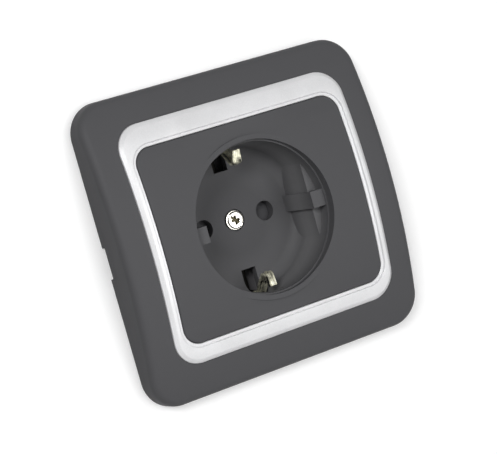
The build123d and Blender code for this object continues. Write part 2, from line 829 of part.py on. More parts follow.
mounting_bracket.part.label = "mounting_bracket"


def rivet(place):
    """Tubular rivet that joins bracket and insert housing."""
    with BuildPart() as pin:
        with BuildSketch(front_plane(-5.6)):
            with Locations(place):
                Circle(2.2)
        extrude(amount=0.6)
        with BuildSketch(front_plane(-5.2)):
            with Locations(place):
                Circle(rivet_radius)
        extrude(amount=5.2 + bracket_thick)
        with BuildSketch(front_plane(bracket_thick)):
            with Locations(place):
                Circle(2.3)
        extrude(amount=0.8, taper=30)
    return pin.part


rivets = []
for name, place in zip(["upper_right", "upper_left", "lower_left", "lower_right"], rivet_places):
    one = rivet(place)
    one.label = name + "_rivet"
    rivets.append(one)


def claw(side):
    """Spreading claw: a toothed steel lever hung between the bracket ears."""
    inner = claw_outer_x - claw_thick
    ear_mid = claw_half_width - claw_ear_thick / 2
    with BuildPart() as lever:
        with BuildSketch(Plane.XY):
            with BuildLine():
                Polyline(
                    (side * inner, -claw_head_level),
                    (side * claw_outer_x, -claw_head_level),
                    (side * claw_outer_x, -claw_foot_level - 3),
                    (side * (claw_outer_x + claw_tooth), -claw_foot_level),
                    (side * (claw_outer_x + claw_tooth - 0.3), -claw_foot_level + claw_thick),
                    (side * (claw_screw_x - 1.9), -claw_foot_level + claw_thick),
                    (side * (claw_screw_x - 1.9), -claw_foot_level),
                    (side * inner, -claw_foot_level),
                    close=True,
                )
            make_face()
        extrude(amount=claw_half_width, both=True)
        # gaps between the teeth at the outer edge of the foot
        with BuildSketch(Plane.YZ.offset(side * claw_outer_x)):
            with Locations((-claw_foot_level, -2.7), (-claw_foot_level, 0), (-claw_foot_level, 2.7)):
                Rectangle(6, 1.2)
        extrude(amount=side * 3, mode=Mode.SUBTRACT)
        # long window that lightens the lever
        with BuildSketch(Plane.YZ.offset(side * (inner - 1))):
            with Locations((13.2, 0)):
                SlotOverall(9.5, 3.4)
        extrude(amount=side * 4, mode=Mode.SUBTRACT)
        # ears with the pivot holes
        for level_z in (-ear_mid, ear_mid):
            with BuildSketch(Plane.XY.offset(level_z - claw_ear_thick / 2)):
                with Locations((side * claw_pivot_x, -claw_pivot_level)):
                    Circle(1.75)
                with Locations((side * (claw_pivot_x + inner + 0.5) / 2, -claw_pivot_level)):
                    Rectangle(inner + 0.5 - claw_pivot_x, 3.5)
            extrude(amount=claw_ear_thick)
        with BuildSketch(Plane.XY.offset(-8)):
            with Locations((side * claw_pivot_x, -claw_pivot_level)):
                Circle(claw_pin_radius + running_gap)
        extrude(amount=16, mode=Mode.SUBTRACT)
        with BuildSketch(front_plane(claw_foot_level - 2)):
            with Locations((side * claw_screw_x, 0)):
                Circle(claw_screw_radius + 0.03)
        extrude(amount=4, mode=Mode.SUBTRACT)
    return lever.part


def claw_screw(side):
    """Slotted screw that runs from the bracket's front into the claw's foot and tilts with it."""
    head_level = bracket_thick + claw_screw_slack
    with BuildPart() as screw:
        with BuildSketch(front_plane(claw_foot_level - 3.4)):
            with Locations((side * claw_screw_x, 0)):
                Circle(claw_screw_radius)
        extrude(amount=head_level - claw_foot_level + 3.4)
        with BuildSketch(front_plane(head_level)):
            with Locations((side * claw_screw_x, 0)):
                Circle(claw_screw_head)
        extrude(amount=claw_screw_head_high)
        with BuildSketch(front_plane(head_level + 0.9)):
            with Locations((side * claw_screw_x, 0)):
                Rectangle(2 * claw_screw_head, 0.7)
        extrude(amount=1, mode=Mode.SUBTRACT)
    return screw.part


def claw_pins(side, up):
    """Short pivot pin that joins one bracket ear to one ear of the claw."""
    start = claw_half_width - claw_ear_thick - 0.2
    with BuildPart() as pin:
        with BuildSketch(Plane.XY.offset(up * start)):
            with Locations((side * claw_pivot_x, -claw_pivot_level)):
                Circle(claw_pin_radius)
        extrude(amount=up * claw_pin_length)
        with BuildSketch(Plane.XY.offset(up * (ear_z + bracket_ear_thick / 2))):
            with Locations((side * claw_pivot_x, -claw_pivot_level)):
                Circle(claw_pin_radius + 0.5)
        extrude(amount=up * 0.7)
    return pin.part


claw_pieces = []
for side, word in ((-1, "left"), (1, "right")):
    lever = claw(side)
    lever.label = word + "_claw"
    jack = claw_screw(side)
    jack.label = word + "_claw_screw"
    upper_pin = claw_pins(side, 1)
    upper_pin.label = word + "_upper_pin"
    lower_pin = claw_pins(side, -1)
    lower_pin.label = word + "_lower_pin"
    claw_pieces.extend([lever, jack, upper_pin, lower_pin])

# write every piece as its own file
for piece in (
    outer_frame.part,
    trim_ring.part,
    centre_plate.part,
    centre_screw.part,
    centre_nut.part,
    shutter.part,
    shutter_spring.part,
    shutter_tray.part,
    earth_strap.part,
    live_contact,
    neutral_contact,
    live_terminal,
    neutral_terminal,
    earth_terminal,
    live_terminal_screw,
    neutral_terminal_screw,
    earth_terminal_screw,
    insert_housing.part,
    rear_cover.part,
    mounting_bracket.part,
    *claw_pieces,
    *rivets,
):
    export_step(piece, "parts/" + piece.label + ".step")
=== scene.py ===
# %% [markdown]
# # A wall socket, dressed for its picture
# The part arrives as thirty-two solids at real size, in metres, with X to the right, Z up and the
# front facing -Y. This lesson gives each of them a finish, adds the small things that a drawing
# leaves out, such as screw threads, and then sets up the wall, the lamps and the camera.
# The solids stay where they are. What is added here sits on them.

# %% Load the part
import json
from math import pi, radians

import bmesh
import bpy
import numpy as np
from mathutils import Matrix, Vector

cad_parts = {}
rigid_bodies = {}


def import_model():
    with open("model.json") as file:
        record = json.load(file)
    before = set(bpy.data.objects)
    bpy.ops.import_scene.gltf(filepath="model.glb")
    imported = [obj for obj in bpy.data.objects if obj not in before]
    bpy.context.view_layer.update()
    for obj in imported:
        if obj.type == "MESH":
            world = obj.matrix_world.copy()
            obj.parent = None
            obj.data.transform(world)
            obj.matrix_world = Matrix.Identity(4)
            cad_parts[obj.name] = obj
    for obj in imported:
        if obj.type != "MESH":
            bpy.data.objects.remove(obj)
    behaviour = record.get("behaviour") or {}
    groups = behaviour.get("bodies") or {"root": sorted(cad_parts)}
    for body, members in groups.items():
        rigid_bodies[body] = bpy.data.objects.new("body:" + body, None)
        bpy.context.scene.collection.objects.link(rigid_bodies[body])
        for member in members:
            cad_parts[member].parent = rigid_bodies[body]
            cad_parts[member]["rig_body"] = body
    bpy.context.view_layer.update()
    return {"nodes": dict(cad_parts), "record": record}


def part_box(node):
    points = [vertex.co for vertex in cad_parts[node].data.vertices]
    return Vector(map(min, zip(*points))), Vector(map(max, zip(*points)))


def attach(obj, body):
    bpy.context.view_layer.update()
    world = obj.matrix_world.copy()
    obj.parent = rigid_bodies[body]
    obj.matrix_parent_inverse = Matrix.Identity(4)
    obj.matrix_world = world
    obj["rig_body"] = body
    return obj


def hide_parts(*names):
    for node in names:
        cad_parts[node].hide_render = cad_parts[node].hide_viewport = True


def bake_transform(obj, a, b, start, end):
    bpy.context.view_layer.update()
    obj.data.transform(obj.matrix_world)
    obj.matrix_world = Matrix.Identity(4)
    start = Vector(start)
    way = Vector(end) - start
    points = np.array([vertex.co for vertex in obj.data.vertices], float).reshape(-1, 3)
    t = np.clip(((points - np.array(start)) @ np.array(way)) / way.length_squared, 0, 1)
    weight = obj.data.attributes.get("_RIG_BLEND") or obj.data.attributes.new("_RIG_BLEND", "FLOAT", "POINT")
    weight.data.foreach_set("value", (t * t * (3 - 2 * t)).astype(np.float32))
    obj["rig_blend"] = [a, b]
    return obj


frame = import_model()
MM = 0.001

# %% [markdown]
# ## Helpers for node trees
# Finishes and repeated pieces are both made by node trees. A tree could be drawn by hand in the node
# editor, but it is hard to read again there. Built in a script, each node is one call with its
# settings and a value or a link for each input. The sums get short names, so that a longer formula
# still reads like one.

# %% Add a node and do sums
def fill(tree, node, inputs):
    for label, value in inputs.items():
        if isinstance(value, bpy.types.NodeSocket):
            tree.links.new(value, node.inputs[label])
        else:
            node.inputs[label].default_value = value


def add_node(tree, kind, inputs=None, **settings):
    node = tree.nodes.new(kind)
    for label, value in settings.items():
        setattr(node, label, value)
    fill(tree, node, inputs or {})
    return node


def work_out(tree, operation, *values):
    return add_node(tree, "ShaderNodeMath", dict(enumerate(values)), operation=operation).outputs[0]


def plus(tree, a, b):
    return work_out(tree, "ADD", a, b)


def minus(tree, a, b):
    return work_out(tree, "SUBTRACT", a, b)


def times(tree, a, b):
    return work_out(tree, "MULTIPLY", a, b)


def mix(tree, kind, share, start, end):
    a, b, result = {"FLOAT": (2, 3, 0), "VECTOR": (4, 5, 1), "RGBA": (6, 7, 2)}[kind]
    return add_node(tree, "ShaderNodeMix", {0: share, a: start, b: end}, data_type=kind).outputs[result]


def axes_of(tree, vector):
    return add_node(tree, "ShaderNodeSeparateXYZ", {"Vector": vector}).outputs


# %% [markdown]
# ## Trees with named inputs
# A tree that serves more than one piece or finish needs inputs with names, so that its sizes can be
# changed without opening it. The kind of each input could be listed beside it, but the first value
# already tells it: a whole number, a length, a vector or a colour. An input without a value takes a
# material.

# %% Start a tree with named inputs
def socket_kind(value):
    if value is None:
        return "NodeSocketMaterial"
    if isinstance(value, tuple):
        return "NodeSocketVector" if len(value) == 3 else "NodeSocketColor"
    return "NodeSocketInt" if isinstance(value, int) else "NodeSocketFloat"


def start_tree(name, kind, inputs, outputs):
    tree = bpy.data.node_groups.new(name, kind)
    for label, socket_type in outputs.items():
        tree.interface.new_socket(label, in_out="OUTPUT", socket_type=socket_type)
    for label, value in inputs.items():
        socket = tree.interface.new_socket(label, in_out="INPUT", socket_type=socket_kind(value))
        if value is not None:
            socket.default_value = value
    print("tree", name, "takes", len(inputs), "values")
    return tree, tree.nodes.new("NodeGroupInput").outputs


# %% [markdown]
# ## Grain, as reusable groups
# Every surface on the socket has some fine irregularity: the spark-eroded skin of moulded plastic,
# the flakes in lacquer, the drawing lines in sheet steel. One material could hold its own noise
# nodes, but then each change would be made many times. A node group is built once, with named
# inputs, and every material takes it with its own values. The two groups end in the same way: a fine
# and a wide noise together make the colour lighter or darker and the surface glossier or duller.

# %% Turn two noises into a surface
surface_kinds = {"Colour": "NodeSocketColor", "Roughness": "NodeSocketFloat", "Height": "NodeSocketFloat"}


def noise(tree, vector, scale, detail):
    inputs = {"Vector": vector, "Scale": scale, "Detail": detail}
    return add_node(tree, "ShaderNodeTexNoise", inputs).outputs[0]


def put_out_surface(tree, given, fine, wide, fine_share):
    both = plus(tree, times(tree, fine, fine_share), times(tree, wide, 1 - fine_share))
    swing = minus(tree, both, 0.5)
    bright = plus(tree, times(tree, swing, given["Colour Change"]), 1.0)
    tint = add_node(tree, "ShaderNodeVectorMath", {0: given["Colour"], "Scale": bright}, operation="SCALE")
    rough = plus(tree, times(tree, swing, given["Roughness Change"]), given["Roughness"])
    add_node(tree, "NodeGroupOutput", {"Colour": tint.outputs[0], "Roughness": rough, "Height": fine})


# %% [markdown]
# ## Moulded and lacquered skins
# The skin of a moulding is an even grain with faint clouds in it, and so is a coat of lacquer. An
# image of the grain would repeat and show seams. Two noises in space have neither.

# %% The group for a moulded or lacquered skin
def build_skin_group():
    tree, given = start_tree(
        "fine_skin",
        "ShaderNodeTree",
        {
            "Vector": (0.0, 0.0, 0.0),
            "Colour": (0.1, 0.1, 0.1, 1.0),
            "Grain Scale": 5000.0,
            "Cloud Scale": 60.0,
            "Colour Change": 0.06,
            "Roughness": 0.45,
            "Roughness Change": 0.08,
        },
        surface_kinds,
    )
    grain = noise(tree, given["Vector"], given["Grain Scale"], detail=3.0)
    cloud = noise(tree, given["Vector"], given["Cloud Scale"], detail=4.0)
    put_out_surface(tree, given, grain, cloud, fine_share=0.5)
    return tree


skin_group = build_skin_group()

# %% [markdown]
# ## Drawn and brushed metal
# Sheet and wire carry lines along the way they were drawn, and wide stains over them. A noise that is
# stretched along one axis gives such lines. Each metal says with Stretch which way they run.

# %% The group for drawn or brushed metal
def build_drawn_group():
    tree, given = start_tree(
        "drawn_metal",
        "ShaderNodeTree",
        {
            "Vector": (0.0, 0.0, 0.0),
            "Colour": (0.6, 0.6, 0.6, 1.0),
            "Stretch": (300.0, 9000.0, 9000.0),
            "Stain Scale": 90.0,
            "Colour Change": 0.25,
            "Roughness": 0.3,
            "Roughness Change": 0.2,
        },
        surface_kinds,
    )
    stretched = add_node(
        tree, "ShaderNodeVectorMath", {0: given["Vector"], 1: given["Stretch"]}, operation="MULTIPLY"
    )
    lines = noise(tree, stretched.outputs[0], 1.0, detail=2.0)
    stains = noise(tree, given["Vector"], given["Stain Scale"], detail=5.0)
    put_out_surface(tree, given, lines, stains, fine_share=0.45)
    return tree


drawn_group = build_drawn_group()

# %% [markdown]
# ## What a finish is
# A finish is one Principled shader whose colour, roughness and bump come from a group. Values that
# are the same all over the surface, such as Metallic, are set on the shader itself. Each finish could
# be a copied node tree, but a function keeps them alike and leaves only their values to write.

# %% Build a finish
finishes = {}
bump_depth = 0.02 * MM


def build_finish(name, group, colour, values, metallic=0.0, bump=0.05, specular=0.5):
    material = bpy.data.materials.new(name)
    material.use_nodes = True
    tree = material.node_tree
    place = add_node(tree, "ShaderNodeTexCoord").outputs["Object"]
    inputs = {"Vector": place, "Colour": (*colour, 1.0), **values}
    grain = add_node(tree, "ShaderNodeGroup", inputs, node_tree=group).outputs
    relief = add_node(
        tree, "ShaderNodeBump", {"Strength": bump, "Distance": bump_depth, "Height": grain["Height"]}
    )
    fill(
        tree,
        tree.nodes["Principled BSDF"],
        {
            "Base Color": grain["Colour"],
            "Roughness": grain["Roughness"],
            "Normal": relief.outputs["Normal"],
            "Metallic": metallic,
            "Specular IOR Level": specular,
        },
    )
    finishes[name] = material
    print("finish", name)


# %% [markdown]
# ## Plastic and lacquer
# The frame and the plate are satin moulded plastic, the insert behind the wall is a paler one, and
# the trim ring has silver lacquer full of fine flakes. The dark plastic is a little darker than it
# looks, because its sheen adds a thin veil of the room's light. The cup starts as the same plastic,
# as a finish of its own that is changed further down. The lacquer is only partly metallic, so that
# it stays pale where it mirrors the dark frame.

# %% Plastic and lacquer finishes
dark_plastic = {
    "group": skin_group,
    "colour": (0.070, 0.070, 0.074),
    "values": {"Grain Scale": 5200.0, "Cloud Scale": 70.0, "Colour Change": 0.08, "Roughness": 0.58},
    "bump": 0.22,
    "specular": 0.22,
}
build_finish("anthracite_plastic", **dark_plastic)
# The cup's own finish, which gets painted light further down.
build_finish("cup_plastic", **dark_plastic)
build_finish(
    "shutter_plastic",
    skin_group,
    (0.056, 0.056, 0.060),
    {"Grain Scale": 3600.0, "Roughness": 0.6},
    bump=0.15,
    specular=0.2,
)
build_finish(
    "insert_plastic",
    skin_group,
    (0.55, 0.55, 0.53),
    {"Grain Scale": 2600.0, "Cloud Scale": 120.0, "Colour Change": 0.12, "Roughness": 0.5},
    bump=0.25,
)
build_finish(
    "silver_lacquer",
    skin_group,
    (0.74, 0.74, 0.75),
    {
        "Grain Scale": 3400.0,
        "Cloud Scale": 160.0,
        "Colour Change": 0.34,
        "Roughness": 0.44,
        "Roughness Change": 0.20,
    },
    metallic=0.25,
    bump=0.30,
    specular=0.3,
)

# %% [markdown]
# ## Nickel
# The strap and the centre screw are nickel plated. A smooth mirror would look like chrome, so the
# nickel has drawing lines and stains. The clips have broad dark and bright bands on their bent
# strips, which are painted reflections. A room with many lamps in it could put such bands there, but
# they would show on the frame too, so here they are painted as a wide swing of the clips' own colour.

# %% Nickel finishes
bright_nickel = {
    "group": drawn_group,
    "colour": (0.70, 0.685, 0.62),
    "values": {
        "Stretch": (7000.0, 900.0, 900.0),
        "Colour Change": 0.2,
        "Roughness": 0.17,
        "Roughness Change": 0.12,
    },
    "metallic": 1.0,
    "bump": 0.06,
}
build_finish("nickel", **bright_nickel)
# The strap's own finish, which gets painted shade further down where it lies deeper than the cup's floor.
build_finish("strap_nickel", **bright_nickel)
build_finish(
    "screw_nickel",
    drawn_group,
    (0.74, 0.72, 0.66),
    {
        "Stretch": (2500.0, 2500.0, 2500.0),
        "Colour Change": 0.2,
        "Roughness": 0.2,
        "Roughness Change": 0.15,
    },
    metallic=1.0,
    bump=0.05,
)
# Painted reflections: the olive colour with a Colour Change of 8 paints dark olive and bright bands along
# the clips.
build_finish(
    "clip_nickel",
    drawn_group,
    (0.60, 0.585, 0.455),
    {
        "Stretch": (1250.0, 120.0, 120.0),
        "Stain Scale": 700.0,
        "Colour Change": 8.0,
        "Roughness": 0.30,
        "Roughness Change": 0.3,
    },
    metallic=0.7,
    bump=0.15,
)

# %% [markdown]
# ## Zinc, brass and spring steel
# The bracket, the claws and the small screws are zinc plated, the terminals and rivets are bare
# brass, and the spring is drawn wire. A group for each of them would say the same thing three times,
# so they take the nickel's group, are duller, and have lines that run in other directions.

# %% Finishes of the other metals
build_finish(
    "zinc_steel",
    drawn_group,
    (0.58, 0.60, 0.61),
    {"Stretch": (260.0, 8000.0, 8000.0), "Stain Scale": 140.0, "Roughness": 0.33},
    metallic=1.0,
    bump=0.12,
)
build_finish(
    "brass",
    drawn_group,
    (0.72, 0.53, 0.25),
    {"Stretch": (6000.0, 700.0, 6000.0), "Stain Scale": 200.0, "Roughness": 0.28},
    metallic=1.0,
    bump=0.08,
)
build_finish("spring_steel", drawn_group, (0.45, 0.45, 0.46), {"Roughness": 0.3}, metallic=1.0, bump=0.05)

# %% [markdown]
# ## Zones of another tone
# Some surfaces change within one piece. Painted shade darkens the recess of the centre screw, and the
# strap and the insert where they lie behind the slots of the cup, and painted light makes the cup a
# little paler towards its wall than the plate. Painting this would need an image. Here one group works
# out a mask from the place of each point: how far it is from the axis of the cup, and how deep it
# lies. Inside the mask a finish passes over to a second colour and roughness.

# %% The group that masks a zone
def build_zone_group():
    tree, given = start_tree(
        "zone_mask",
        "ShaderNodeTree",
        {
            "Vector": (0.0, 0.0, 0.0),
            "Radius": 1.6 * MM,
            "Inner Radius": -1.0,
            "Top Y": 5.6 * MM,
            "Bottom Y": 6.7 * MM,
            "Soft": 0.2 * MM,
        },
        {"Mask": "NodeSocketFloat"},
    )
    x, y, z = axes_of(tree, given["Vector"])
    away = work_out(tree, "SQRT", plus(tree, times(tree, x, x), times(tree, z, z)))
    limits = (
        (given["Radius"], away),
        (away, given["Inner Radius"]),
        (y, given["Top Y"]),
        (given["Bottom Y"], y),
    )
    mask = 1.0
    for larger, smaller in limits:
        step = work_out(tree, "DIVIDE", minus(tree, larger, smaller), given["Soft"])
        step = work_out(tree, "MINIMUM", work_out(tree, "MAXIMUM", step, 0.0), 1.0)
        mask = times(tree, mask, step)
    add_node(tree, "NodeGroupOutput", {"Mask": mask})
    return tree


zone_group = build_zone_group()

# %% [markdown]
# ## Four zones
# The limits are places on the part: the recess of the screw, all of the strap that lies deeper than
# the cup's floor, the face of the insert inside its collar, and the cup, more and more from near its
# axis outwards. The group's own values are those of the recess. A limit that shouldn't cut anything
# is set a metre away.

# %% Set the zones
nowhere_near = 1.0


def tone_zone(name, colour, roughness, limits):
    tree = finishes[name].node_tree
    shader = tree.nodes["Principled BSDF"]
    place = tree.nodes["Texture Coordinate"].outputs["Object"]
    mask = add_node(tree, "ShaderNodeGroup", {"Vector": place, **limits}, node_tree=zone_group).outputs[0]
    for label, kind, toned in (("Base Color", "RGBA", (*colour, 1.0)), ("Roughness", "FLOAT", roughness)):
        plain = shader.inputs[label].links[0].from_socket
        tree.links.new(mix(tree, kind, mask, plain, toned), shader.inputs[label])
    print("zone on", name)


# Painted shade: the recess of the centre screw is painted a dark olive and made duller.
tone_zone("screw_nickel", (0.085, 0.075, 0.045), 0.5, {})
# Painted shade: the strap deeper than the cup's floor, seen through the slots, is painted near-black and
# dull.
tone_zone(
    "strap_nickel",
    (0.035, 0.033, 0.030),
    0.6,
    {"Radius": nowhere_near, "Top Y": 6.2 * MM, "Bottom Y": nowhere_near, "Soft": 1.0 * MM},
)
# Painted shade: the insert's face inside its collar, seen through the slots of the cup, is painted dark
# grey.
tone_zone(
    "insert_plastic",
    (0.120, 0.117, 0.124),
    0.6,
    {"Radius": 21.5 * MM, "Top Y": 9.0 * MM, "Bottom Y": 12.9 * MM, "Soft": 0.3 * MM},
)
# Painted light: the cup's plastic is painted paler from near its axis outwards, lifting the shade inside the
# cup.
tone_zone(
    "cup_plastic",
    (0.170, 0.170, 0.175),
    0.6,
    {
        "Radius": 30.0 * MM,
        "Inner Radius": 9.0 * MM,
        "Top Y": -10.0 * MM,
        "Bottom Y": 9.0 * MM,
        "Soft": 8.0 * MM,
    },
)

# %% [markdown]
# ## Dress every solid
# The record that came with the part says which finish each solid takes. One loop over it is safer
# than thirty-two lines by hand.

# %% Give each solid its finish
slot_of = {row["node"]: row["material_slot"] for row in frame["record"]["subparts"]}
for node, solid in frame["nodes"].items():
    solid.data.materials.clear()
    solid.data.materials.append(finishes[slot_of[node]])
print(len(frame["nodes"]), "solids dressed")

# %% [markdown]
# ## Smooth skins for what the picture shows
# The solids come as loose triangles, so a rounded edge would show flat strips in a highlight. For
# the pieces in view a copy is made, its doubled points are merged, and faces that meet at a small
# angle are shaded as one surface. The copy stands for the solid, which stays hidden under it.

# %% Make the smooth skins
merge_step = 1e-7
skin_sharp = 32.0


def put_in_scene(name, data):
    thing = bpy.data.objects.new(name, data)
    bpy.context.scene.collection.objects.link(thing)
    return thing


def shade(mesh, sharp):
    mesh.shade_smooth()
    mesh.set_sharp_from_angle(angle=radians(sharp))


def smooth_skin(node, name, finish=None):
    solid = frame["nodes"][node]
    points = np.array([v.co for v in solid.data.vertices])
    counts = np.round(points / merge_step).astype(np.int64)
    kept, place_of = np.unique(counts, axis=0, return_inverse=True)
    place_of = place_of.ravel()
    faces = [[place_of[v] for v in polygon.vertices] for polygon in solid.data.polygons]
    faces = [face for face in faces if len(set(face)) == len(face)]
    mesh = bpy.data.meshes.new(name)
    mesh.from_pydata((kept * merge_step).tolist(), [], faces)
    mesh.materials.append(finishes[finish or slot_of[node]])
    shade(mesh, skin_sharp)
    piece = put_in_scene(name, mesh)
    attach(piece, solid["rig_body"])
    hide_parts(node)
    print(name, len(mesh.polygons), "faces")
    return piece


smooth_skin("outer_frame", "cover_frame_skin")
smooth_skin("centre_plate", "plate_and_cup_skin", finish="cup_plastic")
smooth_skin("insert_housing", "insert_skin")
smooth_skin("mounting_bracket", "bracket_skin")

# %% [markdown]
# ## Helpers for shapes
# The next pieces repeat or follow a path, so Geometry Nodes make them. The helpers below write the
# nodes that most of these trees share: a circle, a coil, a point, a section swept along a path.

# %% Nodes that the shapes share
def circle(tree, radius, points):
    inputs = {"Resolution": points, "Radius": radius}
    return add_node(tree, "GeometryNodeCurvePrimitiveCircle", inputs).outputs[0]


def coil(tree, radius, turns, length, steps):
    inputs = {
        "Resolution": steps,
        "Rotations": turns,
        "Start Radius": radius,
        "End Radius": radius,
        "Height": length,
    }
    return add_node(tree, "GeometryNodeCurveSpiral", inputs).outputs[0]


def point_at(tree, x=0.0, y=0.0, z=0.0):
    return add_node(tree, "ShaderNodeCombineXYZ", {"X": x, "Y": y, "Z": z}).outputs[0]


def direction(tree, angle, length=1.0):
    across = times(tree, work_out(tree, "COSINE", angle), length)
    up = times(tree, work_out(tree, "SINE", angle), length)
    return point_at(tree, x=across, z=up)


def put_at(tree, geometry, position):
    inputs = {"Geometry": geometry, "Position": position}
    return add_node(tree, "GeometryNodeSetPosition", inputs).outputs[0]


def move(tree, geometry, shift=(0, 0, 0), turn=(0, 0, 0)):
    inputs = {"Geometry": geometry, "Translation": shift, "Rotation": turn}
    return add_node(tree, "GeometryNodeTransform", inputs).outputs[0]


def repeat(tree, points, shape):
    inputs = {"Points": points, "Instance": shape}
    return add_node(tree, "GeometryNodeInstanceOnPoints", inputs).outputs[0]


def sweep(tree, path, section, caps=False, scale=1.0):
    inputs = {"Curve": path, "Profile Curve": section, "Scale": scale, "Fill Caps": caps}
    return add_node(tree, "GeometryNodeCurveToMesh", inputs).outputs[0]


# %% [markdown]
# ## Notes that travel along a path
# A sweep puts the same section at every point of a path. To let the section change on its way, each
# point of the path and of the section carries notes, which are named attributes. After the sweep
# every point of the surface has the notes of both, and one formula places it. A section starts as a
# short line with one point per row, and the length of that line doesn't matter.

# %% Write notes, read notes, and a section from rows
any_step = (0.1 * MM, 0.1 * MM, 0)


def write_note(tree, geometry, label, value):
    inputs = {"Geometry": geometry, "Name": label, "Value": value}
    settings = {"data_type": "FLOAT_VECTOR", "domain": "POINT"}
    return add_node(tree, "GeometryNodeStoreNamedAttribute", inputs, **settings).outputs[0]


def read_note(tree, label):
    settings = {"data_type": "FLOAT_VECTOR"}
    return add_node(tree, "GeometryNodeInputNamedAttribute", {"Name": label}, **settings).outputs[0]


def section_from_rows(tree, notes, closed=True):
    count = len(next(iter(notes.values())))
    line = add_node(tree, "GeometryNodeMeshLine", {"Count": count, "Offset": any_step})
    curve = add_node(tree, "GeometryNodeMeshToCurve", {"Mesh": line.outputs[0]}).outputs[0]
    index = add_node(tree, "GeometryNodeInputIndex").outputs[0]
    for label, rows in notes.items():
        switch = add_node(tree, "GeometryNodeIndexSwitch", data_type="VECTOR")
        for _ in range(count - 2):
            switch.index_switch_items.new()
        fill(tree, switch, dict(enumerate([index, *rows])))
        curve = write_note(tree, curve, label, switch.outputs[0])
    inputs = {"Geometry": curve, "Cyclic": closed}
    return add_node(tree, "GeometryNodeSetSplineCyclic", inputs).outputs[0]


# %% [markdown]
# ## How a shape tree starts and ends
# A shape tree has its sizes and its finish as inputs. At its end its shapes are joined, copies become
# real, points that meet are merged and the finish is put on.

# %% Start and end a shape tree
touching = 0.001 * MM


def start_shape(name, sizes):
    inputs = {**sizes, "Finish": None}
    return start_tree(name, "GeometryNodeTree", inputs, {"Geometry": "NodeSocketGeometry"})


def end_shape(tree, size, *shapes):
    joined = add_node(tree, "GeometryNodeJoinGeometry")
    for shape in shapes:
        tree.links.new(shape, joined.inputs[0])
    solid = add_node(tree, "GeometryNodeRealizeInstances", {"Geometry": joined.outputs[0]})
    inputs = {"Geometry": solid.outputs[0], "Distance": touching}
    merged = add_node(tree, "GeometryNodeMergeByDistance", inputs)
    inputs = {"Geometry": merged.outputs[0], "Material": size["Finish"]}
    dressed = add_node(tree, "GeometryNodeSetMaterial", inputs)
    add_node(tree, "NodeGroupOutput", {"Geometry": dressed.outputs[0]})
    return tree


# %% [markdown]
# ## From a tree to a plain mesh
# A tree is run on an empty holder, and the result is copied to a plain mesh. The modifier could stay
# on the object, but a plain mesh can ride on a body and be handed over. The notes are dropped there,
# and the faces are turned to look outwards.

# %% Run a shape tree
notes_used = ("corner", "outward", "spread", "height")


def face_outwards(mesh):
    form = bmesh.new()
    form.from_mesh(mesh)
    bmesh.ops.recalc_face_normals(form, faces=form.faces)
    form.to_mesh(mesh)
    form.free()


def run_tree(tree, name, body, slot, sizes=None, sharp=35.0, finish=None):
    holder = put_in_scene(name + "_holder", bpy.data.meshes.new(name + "_holder"))
    modifier = holder.modifiers.new("nodes", "NODES")
    modifier.node_group = tree
    given = {**(sizes or {}), "Finish": finishes[finish or slot]}
    for item in tree.interface.items_tree:
        if item.in_out == "INPUT" and item.name in given:
            modifier[item.identifier] = given[item.name]
    shape = holder.evaluated_get(bpy.context.evaluated_depsgraph_get())
    mesh = bpy.data.meshes.new_from_object(shape)
    assert len(mesh.polygons), name
    holder.modifiers.remove(modifier)
    bpy.data.objects.remove(holder)
    mesh.name = name
    for label in [attribute.name for attribute in mesh.attributes if attribute.name in notes_used]:
        mesh.attributes.remove(mesh.attributes[label])
    face_outwards(mesh)
    shade(mesh, sharp)
    piece = put_in_scene(name, mesh)
    if body:
        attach(piece, body)
    print(name, len(mesh.polygons), "faces,", [round(side / MM, 2) for side in piece.dimensions], "mm")
    return piece


# %% [markdown]
# ## The silver trim ring: its path
# The real ring is a lacquered inlay with a bevelled outer edge, a crowned top and a low inner lip. It
# could be swept along one path, but its band is wider at the top than at the sides. So each point of
# the path only notes its corner of the rectangle, as signs of X and Z, and the way out of it. Along a
# rounded corner the way out turns, and along a side the corner passes over to the next one. The
# circle under it gives the points, and its radius doesn't matter.

# %% The path that knows its corners
any_radius = 30 * MM


def rounded_path(tree, corner_steps, side_steps):
    count = corner_steps + side_steps
    index = add_node(tree, "GeometryNodeInputIndex").outputs[0]
    quarter = work_out(tree, "FLOOR", work_out(tree, "DIVIDE", index, count))
    step = minus(tree, index, times(tree, quarter, count))
    turn = work_out(tree, "DIVIDE", work_out(tree, "MINIMUM", step, corner_steps), corner_steps)
    past = work_out(tree, "MAXIMUM", minus(tree, step, corner_steps), 0.0)
    along = work_out(tree, "DIVIDE", past, side_steps)
    signs = []
    for first in (pi / 4, 3 * pi / 4):
        diagonal = work_out(tree, "MULTIPLY_ADD", quarter, pi / 2, first)
        signs.append(direction(tree, diagonal, length=2**0.5))
    corner = mix(tree, "VECTOR", along, *signs)
    outward = direction(tree, times(tree, plus(tree, quarter, turn), pi / 2))
    path = write_note(tree, circle(tree, any_radius, 4 * count), "corner", corner)
    return write_note(tree, path, "outward", outward)


# %% [markdown]
# ## The trim ring: its section
# Each row of the section belongs to one of three rounded rectangles: the outer edge, the step inside
# the band, or the lip around the plate. It says how far it is set in from that rectangle and at what
# level it lies. Rows close together at an edge stand for the rounding that catches the light, and
# the three shares say where they lie on it. A bevel modifier would round every edge alike.

